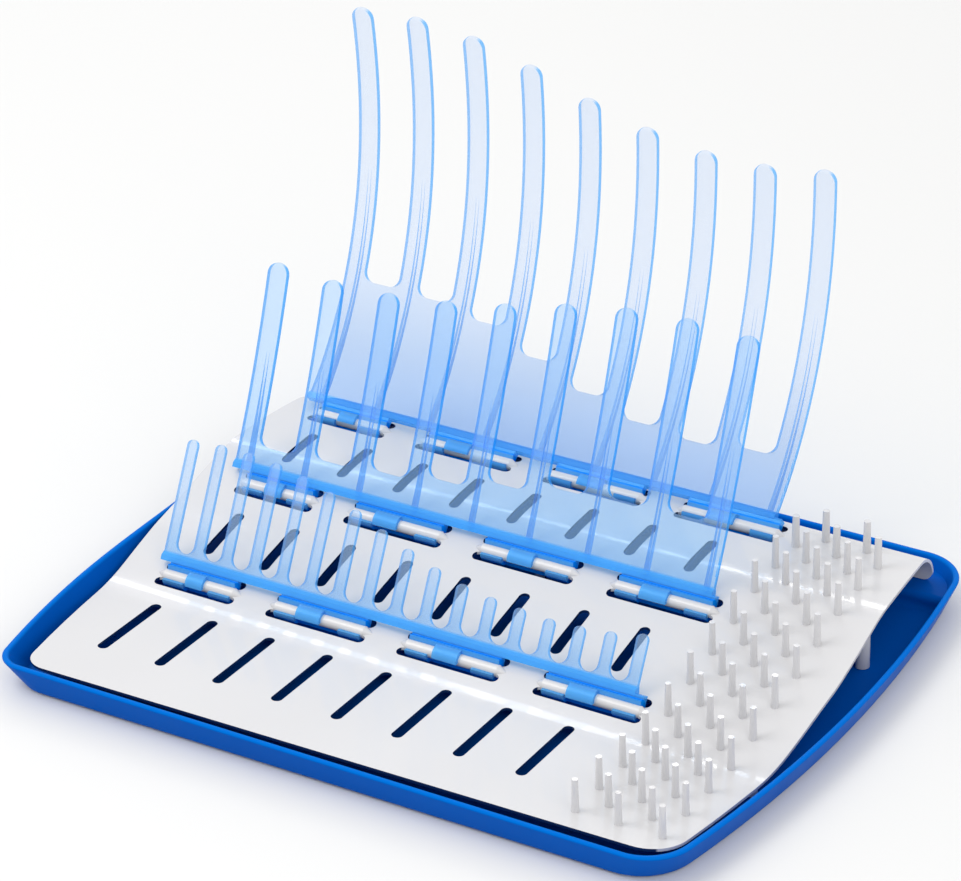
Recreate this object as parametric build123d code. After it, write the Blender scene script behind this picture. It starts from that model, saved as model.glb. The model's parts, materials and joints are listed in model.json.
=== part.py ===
from build123d import *
import os
from math import sin, cos, tan, atan2, radians, degrees, sqrt

os.makedirs("parts", exist_ok=True)

# ---------------------------------------------------------------- frame
# +X runs along the hinge lines (to the right), +Y to the rear, +Z up.
# The origin is the centre of the drip tray's flat underside.

# ---------------------------------------------------------------- drip tray
TRAY_FRONT = -153.4        # rim, front edge
TRAY_REAR = 152.0          # rim, rear edge
TRAY_H = 17.0              # rim height
# rim outline at the two bowed sides, (x, y) from front to rear
TRAY_RIGHT = [(177.6, -153.4), (201.8, -1.5), (196.5, 152.0)]
TRAY_LEFT = [(-193.9, -153.4), (-200.5, -105.0), (-202.7, -54.0), (-201.4, -15.0),
             (-199.8, 15.0), (-198.0, 60.0), (-196.8, 105.0), (-195.5, 152.0)]
TRAY_CORNERS = {"fr": 26.0, "fl": 14.0, "rr": 25.0, "rl": 20.0}   # plan radii of the rim
BASE_CORNERS = {"fr": 30.0, "fl": 21.0, "rr": 26.0, "rl": 18.0}   # of the base
WELL_CORNERS = {"fr": 27.0, "fl": 17.0, "rr": 20.0, "rl": 14.0}   # of the well's floor
TRAY_FLARE = 6.5           # rim overhang beyond the base
TRAY_WALL = 3.0            # rim thickness
TRAY_FLOOR = 2.6           # floor thickness
SHELF_Y = 121.0            # front edge of the rear shelf
SHELF_Z = 10.6             # top of the rear shelf

# ---------------------------------------------------------------- deck
DECK_T = 1.6               # sheet thickness
DECK_X = -3.4              # deck centre across the tray
DECK_HALF_X = 190.7
DECK_SAG_Y = 14.0          # widest line of the deck
DECK_SAG_K = 0.00055       # side curve, 1 / (2 * radius)
DECK_REAR_SHIFT = 3.7      # both sides lean this far to the right at the rear edge
DECK_FRONT = [-147.2, -143.4]   # front edge at its left and right ends
DECK_CORNER = [13.0, 20.0]      # plan radii of the front corners, left and right
# side view of the deck's top face: corner points (y, z) and bend radii.
# It dips behind the front edge, rises past the first two hinge lines to a level
# rear terrace, then the rear edge rolls down into a skirt that stands on the tray's shelf.
DECK_LINE = [(-150.0, 16.6), (-54.3, 9.4), (-9.1, 18.1), (11.7, 20.9),
             (64.3, 31.9), (136.0, 30.3), (136.0, 10.9)]
DECK_BENDS = [110.0, 60.0, 120.0, 80.0, 17.5]
SKIRT_R = 6.0              # rounding of the skirt's lower corners

SLOT_W = 5.9               # drain slots
SLOT_PITCH = 34.0
SLOT_X0 = -36.8            # centre of the eight slots
SLOT_ROWS = [(-115.6, -63.6), (-19.4, 15.4), (58.2, 89.6)]

# hinge stations: each has a front and a rear slot with a round bar between
STATIONS = [(-169.9, -122.6), (-102.8, -45.1), (-26.0, 31.5), (51.2, 110.0)]
BAR_R = 3.2
BAR_GAP = 2.9              # half width of the strip left between the slots
HINGE_SLOT_W = 5.9
AXIS_Y = {"front": -39.6, "middle": 37.0, "rear": 110.5}
AXIS_SINK = 0.6            # bar centres lie this far under the deck's top face

# pins for teats and small parts
PIN_X = [120.4, 131.7, 143.0, 154.4, 165.8]
PIN_Y0 = -130.1
PIN_ROW = 23.45
PIN_H = 18.0
PIN_R = [1.95, 2.15]       # at the foot, rearmost row last
PIN_TIP_R = [1.5, 1.75]

LEG_R = 3.7
LEGS = [(179.0, 59.0), (-183.0, 59.0), (-2.0, 59.0), (60.0, -64.0), (-70.0, -64.0),
        (178.0, -64.0), (-182.0, -64.0)]
LEG_CLEAR = 0.25           # legs stop just above the tray floor

# ---------------------------------------------------------------- combs
PLATE_E = 3.5              # plate centre line behind the hinge axis
BARREL_IN = 3.26
BARREL_OUT = 5.9
TAB_OUT = 5.3
TAB_X = [-147.4, -79.2, 0.3, 76.0]
TAB_W = [10.0, 14.0, 14.0, 15.0]

COMBS = {
    "front": dict(
        x=-35.6, pitch=16.755, w=6.5, t=2.6, lean=29.0, k1=0.0, k2=0.0, e=3.5,
        rb=5.05, start=6.8,
        tips=[70.5, 71.7, 71.5, 70.2, 67.2, 63.1, 57.9, 51.9, 46.0, 40.7, 36.4,
              34.0, 32.7, 31.6, 32.2, 33.7, 36.8],
        gaps=[12.4] * 4 + [12.2] * 4 + [11.9] * 4 + [11.6] * 4),
    "middle": dict(
        x=-36.5, pitch=33.72, w=12.15, t=3.0, lean=29.7, k1=-0.00193, k2=3.46e-6,
        e=3.5, rb=5.6, start=6.8,
        tips=[118.0, 115.9, 116.3, 119.6, 125.4, 132.7, 138.0, 140.0, 138.6],
        gaps=[20.8, 22.1, 24.2, 28.2, 34.0, 39.4, 41.8, 42.4]),
    "rear": dict(
        x=-37.6, pitch=33.5, w=12.2, t=3.0, lean=53.0, k1=-0.00660, k2=8.55e-6,
        e=1.8, rb=6.0, start=7.8,
        tips=[233.0, 234.0, 229.5, 219.4, 207.0, 197.3, 191.2, 190.8, 195.0],
        gaps=[77.8, 76.6, 71.4, 59.6, 48.2, 40.0, 37.4, 40.6]),
}
EDGE_R = [0.7, 0.5, 0.35]  # rounding of the plates' outlines, largest that builds
RIB_W = 1.8
RIB_H = 4.6
RIB_REACH = {"front": 0.0, "middle": 0.62, "rear": 0.62}   # share of the tine
RAIL_F = 1.4               # rail along the foot of a comb, proud of the plate's front
RAIL_B = 1.0               # and of its back
RAIL_H = 4.6
SEAT_GAP = 0.45            # rail and ribs to the deck, comb on its stop


# ---------------------------------------------------------------- helpers
def tray_face(inset, z, less=0.0, corners=TRAY_CORNERS):
    """The tray's outline moved in by inset, corner radii reduced by less."""
    yf, yr = TRAY_FRONT + inset, TRAY_REAR - inset
    right = [(x - inset, y) for x, y in TRAY_RIGHT]
    left = [(x + inset, y) for x, y in TRAY_LEFT]
    right[0], right[-1] = (right[0][0], yf), (right[-1][0], yr)
    left[0], left[-1] = (left[0][0], yf), (left[-1][0], yr)
    f = make_face(Wire([Line(left[0], right[0]), ThreePointArc(*right),
                        Line(right[-1], left[-1]), Spline(*reversed(left))]))
    for key, (x, y) in (("fr", right[0]), ("fl", left[0]), ("rr", right[-1]), ("rl", left[-1])):
        v = min(f.vertices(), key=lambda q: (q.X - x) ** 2 + (q.Y - y) ** 2)
        f = fillet(v, corners[key] - less)
    return Pos(0, 0, z) * f


def deck_top(y):
    """Height of the deck's top face at y, bends included."""
    p = DECK_LINE
    for i in range(1, len(p) - 2):
        (ya, za), (yb, zb), (yc, zc) = p[i - 1], p[i], p[i + 1]
        g0 = atan2(zb - za, yb - ya)
        g1 = atan2(zc - zb, yc - yb)
        r = DECK_BENDS[i - 1]
        t = r * tan(abs(g1 - g0) / 2)
        s0, s1 = yb - t * cos(g0), yb + t * cos(g1)
        if s0 <= y <= s1:
            up = 1 if g1 > g0 else -1
            cy = s0 - up * r * sin(g0)
            cz = zb - t * sin(g0) + up * r * cos(g0)
            return cz - up * sqrt(r * r - (y - cy) ** 2)
    for (ya, za), (yb, zb) in zip(p[:-2], p[1:-1]):
        if ya <= y <= yb:
            return za + (y - ya) * (zb - za) / (yb - ya)
    return p[0][1]


AXES = {k: (y, deck_top(y) - AXIS_SINK) for k, y in AXIS_Y.items()}


def profile(k1, k2, e, length, arcs):
    """Centre line of a comb plate in its own frame, base upright, as tangent
    arcs: list of (s, y, z, angle, curvature); angle in radians, back positive."""
    out = [(0.0, e, 0.0, 0.0, 0.0)]
    y, z, a = e, 0.0, 0.0
    for i in range(arcs):
        sa, sb = length * i / arcs, length * (i + 1) / arcs
        k = k1 + k2 * (sa + sb)
        out[-1] = (sa, y, z, a, k)
        d = sb - sa
        if abs(k) < 1e-9:
            y, z = y + d * sin(a), z + d * cos(a)
        else:
            y, z = y - (cos(a + k * d) - cos(a)) / k, z + (sin(a + k * d) - sin(a)) / k
        a += k * d
        out.append((sb, y, z, a, k))
    return out


def at(pts, s):
    i = 0
    while i < len(pts) - 2 and s > pts[i + 1][0]:
        i += 1
    sa, y, z, a, k = pts[i]
    d = s - sa
    if abs(k) < 1e-9:
        return y + d * sin(a), z + d * cos(a), a
    return (y - (cos(a + k * d) - cos(a)) / k, z + (sin(a + k * d) - sin(a)) / k,
            a + k * d)


def off(pts, s, d):
    y, z, a = at(pts, s)
    return (0, y + d * cos(a), z - d * sin(a))


def ribbon(pts, s0, s1, d0, d1):
    """Closed YZ face of the plate between s0 and s1, offsets d0 to d1."""
    knots = [s0] + [p[0] for p in pts if s0 + 0.5 < p[0] < s1 - 0.5] + [s1]
    def line(d):
        es = []
        for a, b in zip(knots, knots[1:]):
            if abs(pts[0][4]) < 1e-9:
                es.append(Line(off(pts, a, d), off(pts, b, d)))
            else:
                es.append(ThreePointArc(off(pts, a, d), off(pts, (a + b) / 2, d),
                                        off(pts, b, d)))
        return es
    return make_face(Wire(line(d0) + [Line(off(pts, s1, d0), off(pts, s1, d1))]
                          + line(d1) + [Line(off(pts, s0, d1), off(pts, s0, d0))]))


def wedge(pts, s0, s1, d0, h0, h1, steps):
    """Closed YZ face standing off the plate's back, height h0 tapering to h1."""
    ss = [s0 + (s1 - s0) * i / steps for i in range(steps + 1)]
    a = [off(pts, s, d0) for s in ss]
    b = [off(pts, s, d0 + h0 + (h1 - h0) * i / steps) for i, s in enumerate(ss)]
    return make_face(Polyline(*a, *reversed(b), close=True))


def along_x(face, x0, x1):
    """Extrude a YZ face from x0 to x1."""
    return Pos(x0, 0, 0) * extrude(face, amount=x1 - x0, dir=(1, 0, 0))


def sector(r0, r1, a0, a1):
    """Annular sector in YZ round the hinge axis; angles in degrees from up,
    positive towards the front (-Y)."""
    def p(r, a):
        return (0, -r * sin(radians(a)), r * cos(radians(a)))
    m = (a0 + a1) / 2
    return make_face(Wire([
        ThreePointArc(p(r0, a0), p(r0, m), p(r0, a1)), Line(p(r0, a1), p(r1, a1)),
        ThreePointArc(p(r1, a1), p(r1, m), p(r1, a0)), Line(p(r1, a0), p(r0, a0))]))


def stadium(x, y0, y1, w):
    """Front-to-back slot cutter."""
    f = make_face(Wire([
        Line((x - w / 2, y0 + w / 2), (x - w / 2, y1 - w / 2)),
        ThreePointArc((x - w / 2, y1 - w / 2), (x, y1), (x + w / 2, y1 - w / 2)),
        Line((x + w / 2, y1 - w / 2), (x + w / 2, y0 + w / 2)),
        ThreePointArc((x + w / 2, y0 + w / 2), (x, y0), (x - w / 2, y0 + w / 2))]))
    return extrude(f, amount=60)


def stadium_x(x0, x1, y, w):
    """Side-to-side slot cutter."""
    r = w / 2
    f = make_face(Wire([
        Line((x0 + r, y - r), (x1 - r, y - r)),
        ThreePointArc((x1 - r, y - r), (x1, y), (x1 - r, y + r)),
        Line((x1 - r, y + r), (x0 + r, y + r)),
        ThreePointArc((x0 + r, y + r), (x0, y), (x0 + r, y - r))]))
    return extrude(f, amount=60)


# ---------------------------------------------------------------- tray
def make_tray():
    base = tray_face(TRAY_FLARE, 0, corners=BASE_CORNERS)
    rim = tray_face(0, TRAY_H)
    outer = loft([base, rim], ruled=True)
    outer = fillet(outer.edges().group_by(Axis.Z)[0], 3.0)
    i0 = TRAY_FLARE + TRAY_WALL + 0.6
    k = TRAY_FLOOR / TRAY_H
    lo = i0 - TRAY_FLARE * k
    f0 = tray_face(lo, TRAY_FLOOR, corners=WELL_CORNERS)
    hi = TRAY_WALL - TRAY_FLARE * 1.0 / TRAY_H
    f1 = tray_face(hi, TRAY_H + 1.0, 2.5)
    well = loft([f0, f1], ruled=True)
    shelf = Pos(0, (SHELF_Y + 200) / 2, SHELF_Z / 2) * Box(500, 200 - SHELF_Y, SHELF_Z)
    well = well - shelf
    # soften the well: floor corner, shelf foot, shelf lip
    try:
        es = [e for e in well.edges()
              if abs(e.center().Z - TRAY_FLOOR) < 0.05 and e.length > 1]
        well = fillet(es, 3.0)
    except Exception as err:
        print("well floor fillet", err)
    try:
        es = [e for e in well.edges()
              if abs(e.center().Z - SHELF_Z) < 0.05 and abs(e.center().Y - SHELF_Y) < 0.3
              and e.length > 100]
        well = fillet(es, 3.2)
    except Exception as err:
        print("shelf lip fillet", err)
    tray = outer - well
    try:
        top = [e for e in tray.edges() if abs(e.center().Z - TRAY_H) < 0.02]
        tray = fillet(top, 1.1)
    except Exception as err:
        print("rim fillet", err)
    return tray


# ---------------------------------------------------------------- deck
def make_deck():
    p = DECK_LINE
    low, radii = [], []
    def seg_off(a, b):
        g = atan2(b[1] - a[1], b[0] - a[0])
        return (a[0] + DECK_T * sin(g), a[1] - DECK_T * cos(g)), g
    for i in range(len(p)):
        if i == 0:
            q, g = seg_off(p[0], p[1])
            low.append(q)
        elif i == len(p) - 1:
            g = atan2(p[i][1] - p[i - 1][1], p[i][0] - p[i - 1][0])
            low.append((p[i][0] + DECK_T * sin(g), p[i][1] - DECK_T * cos(g)))
        else:
            q0, g0 = seg_off(p[i - 1], p[i])
            q1, g1 = seg_off(p[i], p[i + 1])
            # intersection of the two offset lines
            den = sin(g1 - g0)
            u = ((q1[0] - q0[0]) * sin(g1) - (q1[1] - q0[1]) * cos(g1)) / den
            low.append((q0[0] + u * cos(g0), q0[1] + u * sin(g0)))
            radii.append(DECK_BENDS[i - 1] + (DECK_T if g1 > g0 else -DECK_T))
    upper = FilletPolyline(*[(0, y, z) for y, z in p], radius=DECK_BENDS)
    lower = FilletPolyline(*[(0, y, z) for y, z in low], radius=radii)
    body = make_face(Wire(list(upper.edges()) + [Line((0, *p[-1]), (0, *low[-1]))]
                          + list(lower.edges()) + [Line((0, *low[0]), (0, *p[0]))]))
    sheet = along_x(body, -230, 230)
    yr = p[-1][0]

    def hx(y):
        return DECK_HALF_X - DECK_SAG_K * (y - DECK_SAG_Y) ** 2

    def side(y, s):
        return DECK_X + s * hx(y) + DECK_REAR_SHIFT * max(0.0, (y - 70.0) / (yr - 70.0)) ** 2
    (ya, yb), y1 = DECK_FRONT, yr + 12
    mid = [-90.0, -40.0, DECK_SAG_Y, 60.0, 95.0, 120.0, y1]
    right = [(side(y, 1), y) for y in [yb] + mid]
    left = [(side(y, -1), y) for y in [ya] + mid]
    a, b = left[0], right[0]
    f = make_face(Wire([Line(a, b), Spline(*right), Line(right[-1], left[-1]),
                        Spline(*reversed(left))]))
    for (x, y), r in zip((a, b), DECK_CORNER):
        f = fillet(min(f.vertices(), key=lambda q: (q.X - x) ** 2 + (q.Y - y) ** 2), r)
    deck = sheet & extrude(f, amount=60)
    # rounded lower corners of the skirt
    zs = p[-1][1]
    for s, x in ((1, side(yr, 1)), (-1, side(yr, -1))):
        corner = Pos(x - s * (SKIRT_R - 10) / 2, yr, zs + (SKIRT_R - 10) / 2) \
            * Box(SKIRT_R + 10, 24, SKIRT_R + 10)
        deck = deck - (corner - Pos(x - s * SKIRT_R, yr, zs + SKIRT_R)
                       * Rot(90, 0, 0) * Cylinder(SKIRT_R, 30))

    pins = []
    for c, x in enumerate(PIN_X):
        for r in range(11):
            y = PIN_Y0 + PIN_ROW * (r + (0.5 if c % 2 else 0.0))
            z = deck_top(y) - 0.8
            k = 1 if r == 10 else 0
            prof = [(0, 0), (PIN_R[k], 0), (PIN_TIP_R[k], PIN_H + 0.8), (0, PIN_H + 0.8)]
            face = make_face(Polyline(*[(a, 0, b) for a, b in prof], close=True))
            pins.append(Pos(x, y, z) * revolve(face, Axis.Z) - sheet)
    cuts = []
    for y0, y1 in SLOT_ROWS:
        for i in range(8):
            cuts.append(stadium(SLOT_X0 + (i - 3.5) * SLOT_PITCH, y0, y1, SLOT_W))
    for (ya, za) in AXES.values():
        for x0, x1 in STATIONS:
            o = BAR_GAP + HINGE_SLOT_W / 2
            cuts.append(stadium_x(x0, x1, ya - o, HINGE_SLOT_W))
            cuts.append(stadium_x(x0, x1, ya + o, HINGE_SLOT_W))
            r = HINGE_SLOT_W / 2
            cuts.append(Pos((x0 + x1) / 2, ya, za) * Box(x1 - x0 - 2 * r, 2 * BAR_GAP + 1, 20))
    deck = deck - cuts
    adds = []
    for (ya, za) in AXES.values():
        for x0, x1 in STATIONS:
            # a round bar that fades into the sheet at both ends
            h = (x1 - x0) / 2
            prof = make_face(Polyline((-h - 1.2, 0), (-h - 1.2, 0.7), (-h + 0.6, 1.9),
                                      (-h + 2.9, BAR_R), (h - 2.9, BAR_R), (h - 0.6, 1.9),
                                      (h + 1.2, 0.7), (h + 1.2, 0), close=True))
            adds.append(Pos((x0 + x1) / 2, ya, za) * revolve(prof, Axis.X))
    deck = deck + adds

    floor = TRAY_FLOOR + LEG_CLEAR
    legs = []
    for x, y in LEGS:
        h = deck_top(y) - DECK_T / 2 - floor
        leg = Pos(x, y, floor) * Cylinder(LEG_R, h,
                                          align=(Align.CENTER, Align.CENTER, Align.MIN))
        legs.append(leg - sheet)
    return Compound(children=[*deck.solids(), *[q for p in pins for q in p.solids()],
                              *[q for p in legs for q in p.solids()]])


# ---------------------------------------------------------------- combs
def make_comb(name):
    c = COMBS[name]
    n_t = len(c["tips"])
    half = (n_t - 1) / 2 * c["pitch"] + c["w"] / 2
    length = max(c["tips"]) + 6
    arcs = 1 if name == "front" else 5
    pts = profile(c["k1"], c["k2"], c["e"], length, arcs)
    t = c["t"]
    plate = along_x(ribbon(pts, c["start"], length, -t / 2, t / 2), -half, half)
    # gaps between the tines: rounded bottoms
    rb = min(c["rb"], (c["pitch"] - c["w"]) / 2 - 0.02)
    gap = Box(c["pitch"] - c["w"], 220, 300, align=(Align.CENTER, Align.CENTER, Align.MIN))
    gap = fillet(gap.edges().filter_by(Axis.Y).group_by(Axis.Z)[0], rb)
    cuts = []
    for i, h in enumerate(c["gaps"]):
        y, z, a = at(pts, h)
        cuts.append(Pos((i - (n_t - 2) / 2) * c["pitch"], y, z) * Rot(-degrees(a), 0, 0) * gap)
    for i, h in enumerate(c["tips"]):
        y, z, a = at(pts, h)
        cuts.append(Pos((i - (n_t - 1) / 2) * c["pitch"], y, z) * Rot(-degrees(a), 0, 0)
                    * Box(c["w"] + 3, 60, 70, align=(Align.CENTER, Align.CENTER, Align.MIN)))
    plate = plate - cuts

    def across(e):
        """True for an edge that runs straight through the plate's thickness."""
        return e.geom_type == GeomType.LINE and abs(e.length - t) < 0.35 \
            and abs((e @ 0).X - (e @ 1).X) < 1e-4

    tip_e = []
    for e in plate.edges():
        m = e.center()
        for i, h in enumerate(c["tips"]):
            y, z, a = at(pts, h)
            if across(e) and abs(m.Y - y) + abs(m.Z - z) < 0.5 and abs(
                    abs(m.X - (i - (n_t - 1) / 2) * c["pitch"]) - c["w"] / 2) < 0.1:
                tip_e.append(e)
    plate = fillet(tip_e, c["w"] / 2 - 0.01)
    # soften the outline of both faces
    y0, z0, a0 = at(pts, c["start"])
    rim = []
    for e in plate.edges():
        if across(e) or e.length > 2 * half - 1 or e.length < 0.05:
            continue
        m = e @ 0.5
        near = min((s / 4 for s in range(0, int(length) * 4 + 1)),
                   key=lambda s: (at(pts, s)[0] - m.Y) ** 2 + (at(pts, s)[1] - m.Z) ** 2)
        y, z, a = at(pts, near)
        d = (m.Y - y) * cos(a) - (m.Z - z) * sin(a)
        across_x = abs((e @ 0).X - (e @ 1).X) > c["w"] * 0.9 and abs(e.length - c["w"]) < 0.1
        if abs(abs(d) - t / 2) < 0.2 and not across_x and near > c["start"] + 0.3:
            rim.append(e)
    for r in EDGE_R:
        try:
            plate = fillet(rim, r)
            break
        except ValueError:
            print(name, "edge radius", r, "does not build")
    adds = []
    # rail along the foot, thicker than the plate
    s0 = c["start"]
    y0, z0, a0 = at(pts, s0)
    rail = make_face(Polyline((0, y0 - t / 2 - RAIL_F, z0), (0, y0 + t / 2 + RAIL_B, z0),
                              (0, y0 + t / 2 + RAIL_B, z0 + 1.6), (0, y0 + t / 2 - 0.4, z0 + RAIL_H),
                              (0, y0 - t / 2 + 0.4, z0 + RAIL_H),
                              (0, y0 - t / 2 - RAIL_F, z0 + 2.6), close=True))
    adds.append(along_x(rail, -half, half))
    # ribs up the back of the tines
    if RIB_REACH[name] > 0:
        for i, h in enumerate(c["tips"]):
            xt = (i - (n_t - 1) / 2) * c["pitch"]
            adds.append(along_x(wedge(pts, s0 + 0.5, h * RIB_REACH[name], t / 2 - 0.5,
                                      RIB_H + 0.5, 0.4, 12),
                                xt - RIB_W / 2, xt + RIB_W / 2))
    # rail and ribs stop short of the deck when the comb leans on its stop
    ya, za = AXES[name]
    to_local = Rot(c["lean"], 0, 0) * Pos(0, -ya, -za)
    ys = [ya - 12 + 2.0 * i for i in range(26)]
    below = along_x(make_face(Polyline(*[(0, y, deck_top(y) + SEAT_GAP) for y in ys],
                                       (0, ys[-1], -30), (0, ys[0], -30), close=True)),
                    -300, 300)
    comb = (plate + adds) - to_local * below
    behind = to_local * (Pos(0, ya + 8.2 + 25, 0) * Box(600, 50, 300) & below)
    adds = []
    # hinge stations
    for (x0, x1), tx, tw in zip(STATIONS, TAB_X, TAB_W):
        b0, b1 = x0 + 3.3 - c["x"], x1 - 3.3 - c["x"]
        adds.append(along_x(sector(BARREL_IN, BARREL_OUT, -150, 14), b0, b1))
        web = make_face(Polyline((0, c["e"] - t / 2 - 1.0, 1.5), (0, c["e"] + t / 2 + 0.4, 0.0),
                                 (0, c["e"] + t / 2 + 0.6, s0 + 1.0),
                                 (0, c["e"] - t / 2 - 1.2, s0 + 1.0), close=True))
        core = along_x(web, b0, b1)
        core = core - Rot(0, 90, 0) * Cylinder(BARREL_IN, 900) - behind
        adds.append(core)
        adds.append(along_x(sector(BARREL_IN, TAB_OUT, -30, 118),
                            tx - tw / 2 - c["x"], tx + tw / 2 - c["x"]))
        for h0, h1 in ((x0 + 3.9, x0 + 16.0), (x1 - 16.0, x1 - 3.9)):
            adds.append(along_x(sector(BARREL_IN, TAB_OUT, -246, -145),
                                h0 - c["x"], h1 - c["x"]))
    comb = comb + adds
    return Pos(c["x"], ya, za) * Rot(-c["lean"], 0, 0) * comb


tray = make_tray()
export_step(tray, "parts/drip_tray.step")
deck = make_deck()
export_step(deck, "parts/rack_deck.step")
for name in ("front", "middle", "rear"):
    comb = make_comb(name)
    export_step(comb, "parts/%s_comb.step" % name)
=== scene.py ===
import bpy, json, math
from mathutils import Matrix, Vector

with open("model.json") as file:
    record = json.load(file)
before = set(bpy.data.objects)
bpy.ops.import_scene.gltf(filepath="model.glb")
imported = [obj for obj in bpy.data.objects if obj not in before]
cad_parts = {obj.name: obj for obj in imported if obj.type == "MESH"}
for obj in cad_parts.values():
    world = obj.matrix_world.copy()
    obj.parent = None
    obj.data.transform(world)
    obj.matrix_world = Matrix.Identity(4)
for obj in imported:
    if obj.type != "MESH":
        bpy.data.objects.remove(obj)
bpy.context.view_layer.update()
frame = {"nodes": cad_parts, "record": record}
nodes = frame["nodes"]
JOINT = {j["name"]: j for j in frame["record"]["behaviour"]["joints"]}


# ------------------------------------------------------------------ node helpers
def new_material(name):
    m = bpy.data.materials.new(name)
    m.use_nodes = True
    nt = m.node_tree
    b = nt.nodes["Principled BSDF"]
    return m, nt, b


def node(nt, kind, **props):
    n = nt.nodes.new(kind)
    for k, v in props.items():
        setattr(n, k, v)
    return n


def math_node(nt, op, a, b=None, clamp=False):
    n = node(nt, "ShaderNodeMath", operation=op, use_clamp=clamp)
    for i, v in enumerate((a, b)):
        if v is None:
            continue
        if isinstance(v, (int, float)):
            n.inputs[i].default_value = v
        else:
            nt.links.new(v, n.inputs[i])
    return n.outputs[0]


def ramp(nt, value, stops):
    n = node(nt, "ShaderNodeValToRGB")
    cr = n.color_ramp
    while len(cr.elements) < len(stops):
        cr.elements.new(0.5)
    for e, (p, c) in zip(cr.elements, stops):
        e.position = p
        e.color = (*c, 1) if len(c) == 3 else c
    nt.links.new(value, n.inputs[0])
    return n.outputs[0]


def map_range(nt, value, a, b, c=0.0, d=1.0, smooth=True):
    n = node(nt, "ShaderNodeMapRange", interpolation_type="SMOOTHSTEP" if smooth else "LINEAR")
    nt.links.new(value, n.inputs["Value"])
    for k, v in (("From Min", a), ("From Max", b), ("To Min", c), ("To Max", d)):
        n.inputs[k].default_value = v
    return n.outputs[0]


def mix_color(nt, fac, a, b, mode="MIX"):
    n = node(nt, "ShaderNodeMix", data_type="RGBA", blend_type=mode)
    for sock, v in ((n.inputs[0], fac), (n.inputs[6], a), (n.inputs[7], b)):
        if isinstance(v, (int, float)):
            sock.default_value = v
        elif isinstance(v, (tuple, list)):
            sock.default_value = (*v, 1) if len(v) == 3 else v
        else:
            nt.links.new(v, sock)
    return n.outputs[2]


def noise(nt, vec, scale, detail=2.0, rough=0.5, distortion=0.0):
    n = node(nt, "ShaderNodeTexNoise")
    n.inputs["Scale"].default_value = scale
    n.inputs["Detail"].default_value = detail
    n.inputs["Roughness"].default_value = rough
    n.inputs["Distortion"].default_value = distortion
    nt.links.new(vec, n.inputs["Vector"])
    return n.outputs["Fac"]


def bumps(nt, bsdf, layers):
    """Stack bump layers: (height socket, strength, distance in metres)."""
    last = None
    for h, s, d in layers:
        b = node(nt, "ShaderNodeBump")
        b.inputs["Strength"].default_value = s
        b.inputs["Distance"].default_value = d
        nt.links.new(h, b.inputs["Height"])
        if last is not None:
            nt.links.new(last, b.inputs["Normal"])
        last = b.outputs["Normal"]
    nt.links.new(last, bsdf.inputs["Normal"])


def coords(nt):
    return node(nt, "ShaderNodeTexCoord").outputs["Object"]


# ------------------------------------------------------------------ drip tray
def tray_material():
    m, nt, b = new_material("tray_plastic")
    p = coords(nt)
    sep = node(nt, "ShaderNodeSeparateXYZ")
    nt.links.new(p, sep.inputs[0])
    broad = noise(nt, p, 9.0, 2.0, 0.5)
    col = ramp(nt, broad, [(0.25, (0.0002, 0.082, 0.415)), (0.75, (0.0003, 0.092, 0.450))])
    # painted highlight: the top of the rim, 15.2 to 16.6 mm up, is coloured a lighter blue to
    # stand in for its highlight line
    painted_rim_highlight = map_range(nt, sep.outputs[2], 0.0152, 0.0166, 0.0, 1.0)
    col = mix_color(nt, painted_rim_highlight, col, (0.0006, 0.135, 0.560))
    nt.links.new(col, b.inputs["Base Color"])
    rough = map_range(nt, noise(nt, p, 30.0, 1.0, 0.5), 0.25, 0.75, 0.29, 0.37)
    nt.links.new(rough, b.inputs["Roughness"])
    b.inputs["IOR"].default_value = 1.45
    b.inputs["Specular IOR Level"].default_value = 0.025
    b.inputs["Specular Tint"].default_value = (0.01, 0.34, 1.0, 1)
    return m


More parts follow.
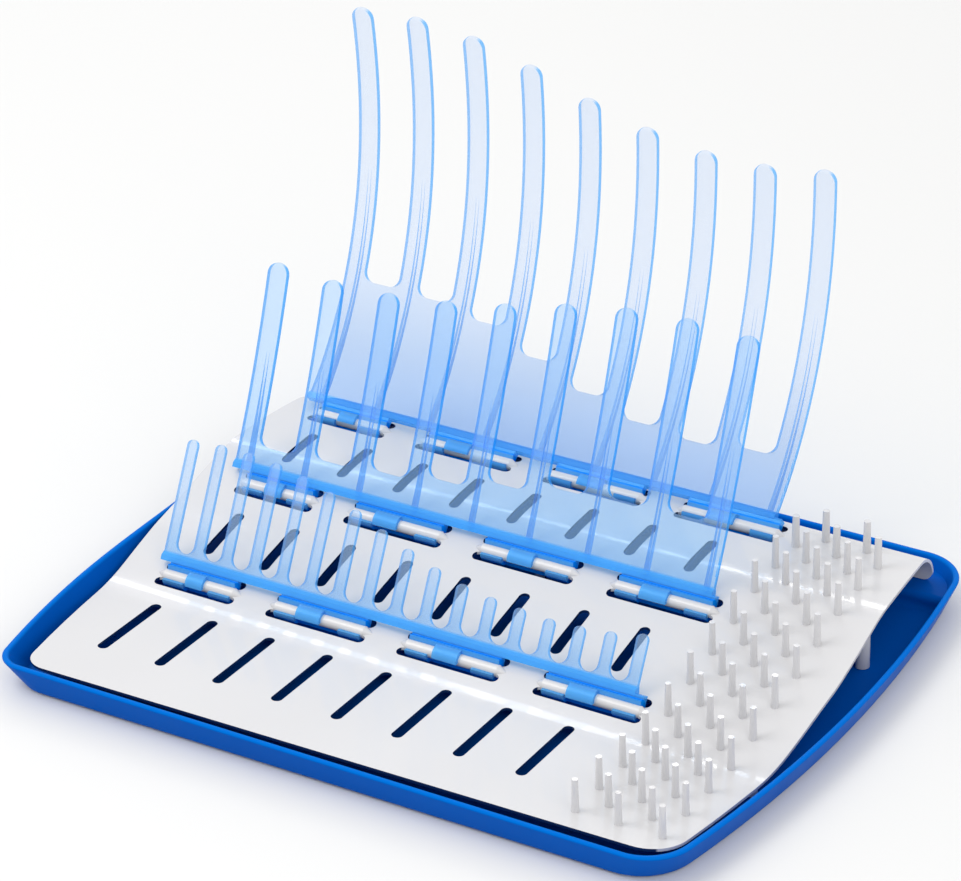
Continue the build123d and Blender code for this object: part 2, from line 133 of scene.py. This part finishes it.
# ------------------------------------------------------------------ deck
def deck_material():
    m, nt, b = new_material("deck_plastic")
    p = coords(nt)
    broad = noise(nt, p, 7.0, 2.0, 0.5)
    wave = noise(nt, p, 17.0, 0.0, 0.4)
    col = ramp(nt, broad, [(0.2, (0.600, 0.595, 0.604)), (0.8, (0.625, 0.620, 0.628))])
    # painted shade: the cut walls of the slots and the front edge are coloured dark navy, as if
    # deep in the tray's blue shade
    sep = node(nt, "ShaderNodeSeparateXYZ")
    nt.links.new(p, sep.inputs[0])
    x, y = sep.outputs[0], sep.outputs[1]

    def band(v, a, b, soft=0.0002):
        return math_node(nt, "MULTIPLY", map_range(nt, v, a - soft, a + soft, 0.0, 1.0),
                         map_range(nt, v, b - soft, b + soft, 1.0, 0.0))
    across = band(x, -0.161, 0.088)
    painted_shade_zone = None
    for a, c in ((-0.1165, -0.0625), (-0.0205, 0.0165), (0.0570, 0.0906)):
        z = math_node(nt, "MULTIPLY", across, band(y, a, c))
        painted_shade_zone = z if painted_shade_zone is None else math_node(nt, "MAXIMUM", painted_shade_zone, z)
    hinges = band(x, -0.171, 0.1115)
    for j in ("front_comb_fold", "middle_comb_fold", "rear_comb_fold"):
        y0 = JOINT[j]["pos_m"][1]
        for a, c in ((y0 - 0.0095, y0 - 0.0035), (y0 + 0.0035, y0 + 0.0095)):
            painted_shade_zone = math_node(nt, "MAXIMUM", painted_shade_zone, math_node(nt, "MULTIPLY", hinges, band(y, a, c)))
    painted_shade_zone = math_node(nt, "MAXIMUM", painted_shade_zone, map_range(nt, y, -0.1405, -0.1395, 1.0, 0.0))
    geo = node(nt, "ShaderNodeNewGeometry")
    tn = node(nt, "ShaderNodeVectorTransform", vector_type="NORMAL",
              convert_from="WORLD", convert_to="OBJECT")
    nt.links.new(geo.outputs["True Normal"], tn.inputs[0])
    ns = node(nt, "ShaderNodeSeparateXYZ")
    nt.links.new(tn.outputs[0], ns.inputs[0])
    wall = map_range(nt, ns.outputs[2], 0.35, 0.70, 1.0, 0.0)
    # painted shade: dark navy mixed onto the near-vertical faces inside the slots and along the
    # front edge
    col = mix_color(nt, math_node(nt, "MULTIPLY", painted_shade_zone, wall), col, (0.006, 0.022, 0.085))
    nt.links.new(col, b.inputs["Base Color"])
    rough = map_range(nt, noise(nt, p, 24.0, 1.0, 0.5), 0.25, 0.75, 0.19, 0.25)
    nt.links.new(rough, b.inputs["Roughness"])
    b.inputs["IOR"].default_value = 1.5
    b.inputs["Specular IOR Level"].default_value = 0.3
    b.inputs["Coat Weight"].default_value = 0.45
    b.inputs["Coat Roughness"].default_value = 0.05
    bumps(nt, b, [(wave, 0.35, 0.0018)])
    return m


# ------------------------------------------------------------------ combs
def comb_material(name, joint, reach, tip, plate, edge, tab_y):
    """Clear blue plastic. Each zone has a tint for what shows through it, a surface
    colour and a share of surface: the thick places (hinge barrels, foot rail, blade
    edges, ribs) are the deepest."""
    m, nt, b = new_material(name)
    p = coords(nt)
    sep = node(nt, "ShaderNodeSeparateXYZ")
    nt.links.new(p, sep.inputs[0])
    y0, z0 = JOINT[joint]["pos_m"][1], JOINT[joint]["pos_m"][2]
    dy = math_node(nt, "SUBTRACT", sep.outputs[1], y0)
    dz = math_node(nt, "SUBTRACT", sep.outputs[2], z0)
    r2 = math_node(nt, "ADD", math_node(nt, "MULTIPLY", dy, dy), math_node(nt, "MULTIPLY", dz, dz))
    r = math_node(nt, "SQRT", r2)
    barrel = map_range(nt, r, 0.0061, 0.0066, 1.0, 0.0)
    front = map_range(nt, dy, tab_y - 0.0003, tab_y + 0.0003, 1.0, 0.0)
    above = map_range(nt, dz, -0.0025, -0.0020, 0.0, 1.0)
    tab = math_node(nt, "MULTIPLY", barrel, math_node(nt, "MULTIPLY", front, above))
    rail = map_range(nt, r, 0.0110, 0.0128, 1.0, 0.0)
    low = map_range(nt, r, 0.010, reach, 1.0, 0.0)
    nrm = node(nt, "ShaderNodeNewGeometry")
    tn = node(nt, "ShaderNodeVectorTransform", vector_type="NORMAL",
              convert_from="WORLD", convert_to="OBJECT")
    nt.links.new(nrm.outputs["True Normal"], tn.inputs[0])
    ns = node(nt, "ShaderNodeSeparateXYZ")
    nt.links.new(tn.outputs[0], ns.inputs[0])
    side = map_range(nt, math_node(nt, "ABSOLUTE", ns.outputs[0]), 0.25, 0.80)
    cloud = noise(nt, p, 22.0, 2.0, 0.5)
    # zone values: (tint seen through, surface colour, share of surface)
    zones = [(low, plate), (side, edge),
             (rail, ((0.42, 0.78, 1.0), (0.085, 0.45, 0.97), 0.45)),
             (barrel, ((0.05, 0.45, 1.0), (0.0008, 0.262, 0.93), 0.86)),
             (tab, ((0.45, 0.80, 1.0), (0.14, 0.52, 0.98), 0.50))]
    tint, col, share = tip
    for mask, (t, c, a) in zones:
        tint = mix_color(nt, mask, tint, t)
        col = mix_color(nt, mask, col, c)
        lerp = node(nt, "ShaderNodeMix", data_type="FLOAT")
        nt.links.new(mask, lerp.inputs[0])
        for sock, v in ((lerp.inputs[2], share), (lerp.inputs[3], a)):
            if isinstance(v, (int, float)):
                sock.default_value = v
            else:
                nt.links.new(v, sock)
        share = lerp.outputs[0]
    tint = mix_color(nt, math_node(nt, "MULTIPLY", cloud, 0.10), tint, (0.60, 0.80, 1.0))
    nt.links.new(col, b.inputs["Base Color"])
    rough = map_range(nt, noise(nt, p, 40.0, 1.0, 0.5), 0.25, 0.75, 0.14, 0.20)
    nt.links.new(rough, b.inputs["Roughness"])
    b.inputs["IOR"].default_value = 1.5
    b.inputs["Specular Tint"].default_value = (0.35, 0.65, 1.0, 1)
    clear = node(nt, "ShaderNodeBsdfTransparent")
    nt.links.new(tint, clear.inputs["Color"])
    mixer = node(nt, "ShaderNodeMixShader")
    nt.links.new(share, mixer.inputs[0])
    nt.links.new(clear.outputs[0], mixer.inputs[1])
    nt.links.new(b.outputs[0], mixer.inputs[2])
    out = next(n for n in nt.nodes if n.type == "OUTPUT_MATERIAL")
    nt.links.new(mixer.outputs[0], out.inputs["Surface"])
    return m


def dress(obj, mat):
    obj.data.materials.clear()
    obj.data.materials.append(mat)
    for poly in obj.data.polygons:
        poly.material_index = 0


dress(nodes["drip_tray"], tray_material())
dress(nodes["rack_deck"], deck_material())
dress(nodes["front_comb"], comb_material(
    "front_comb_plastic", "front_comb_fold", 0.045,
    ((0.88, 0.925, 0.985), (0.55, 0.74, 0.95), 0.19),
    ((0.74, 0.865, 0.975), (0.43, 0.66, 0.93), 0.24),
    ((0.50, 0.76, 1.0), (0.10, 0.46, 0.96), 0.45), 0.0014))
dress(nodes["middle_comb"], comb_material(
    "middle_comb_plastic", "middle_comb_fold", 0.080,
    ((0.88, 0.935, 0.985), (0.44, 0.68, 0.96), 0.17),
    ((0.82, 0.920, 1.0), (0.42, 0.68, 0.97), 0.18),
    ((0.34, 0.70, 1.0), (0.015, 0.36, 0.97), 0.52), 0.0014))
dress(nodes["rear_comb"], comb_material(
    "rear_comb_plastic", "rear_comb_fold", 0.110,
    ((0.925, 0.945, 0.985), (0.76, 0.85, 0.97), 0.12),
    ((0.745, 0.825, 0.94), (0.42, 0.60, 0.88), 0.16),
    ((0.45, 0.74, 1.0), (0.03, 0.40, 0.97), 0.45), 0.0032))

# ------------------------------------------------------------------ floor, light, camera
mesh = bpy.data.meshes.new("floor")
s = 6.0
mesh.from_pydata([(-s, -s, -0.0006), (s, -s, -0.0006), (s, s, -0.0006), (-s, s, -0.0006)],
                 [], [(0, 1, 2, 3)])
floor = bpy.data.objects.new("floor", mesh)
bpy.context.scene.collection.objects.link(floor)
fm, fnt, fb = new_material("floor_paper")
fb.inputs["Base Color"].default_value = (0.74, 0.74, 0.735, 1)
fb.inputs["Roughness"].default_value = 0.9
floor.data.materials.append(fm)

world = bpy.data.worlds.new("studio")
bpy.context.scene.world = world
world.use_nodes = True
bg = world.node_tree.nodes["Background"]
bg.inputs[0].default_value = (1.0, 1.0, 1.0, 1)
bg.inputs[1].default_value = 0.97


def area(name, loc, target, size, power, size_y=None, color=(1, 1, 1)):
    d = bpy.data.lights.new(name, "AREA")
    d.energy = power
    d.shape = "RECTANGLE" if size_y else "SQUARE"
    d.size = size
    if size_y:
        d.size_y = size_y
    d.color = color
    o = bpy.data.objects.new(name, d)
    o.location = loc
    o.rotation_euler = (Vector(target) - Vector(loc)).to_track_quat("-Z", "Y").to_euler()
    bpy.context.scene.collection.objects.link(o)
    return o


area("key", (-0.9, -0.7, 1.7), (0, 0, 0.02), 1.0, 13, 1.0)
area("fill", (1.6, -1.0, 1.2), (0, 0, 0.05), 1.2, 8, 1.2)
area("strip", (-1.01, 1.54, 1.38), (0, 0, 0.03), 1.6, 4.5, 0.11)

cam_data = bpy.data.cameras.new("camera")
cam_data.sensor_width = 36.0
cam_data.lens = 145.95
cam_data.clip_start, cam_data.clip_end = 0.05, 50
cam = bpy.data.objects.new("camera", cam_data)
right = Vector((0.86895299, 0.49422636, -0.02570983))
down = Vector((0.22738826, -0.44485879, -0.86625356))
fwd = Vector((-0.43956259, 0.74688751, -0.49894266))
rot = Matrix((right, -down, -fwd)).transposed()
cam.matrix_world = Matrix.Translation((0.83563, -1.42177, 1.06401)) @ rot.to_4x4()
bpy.context.scene.collection.objects.link(cam)
bpy.context.scene.camera = cam
bpy.context.scene.view_settings.view_transform = "Standard"
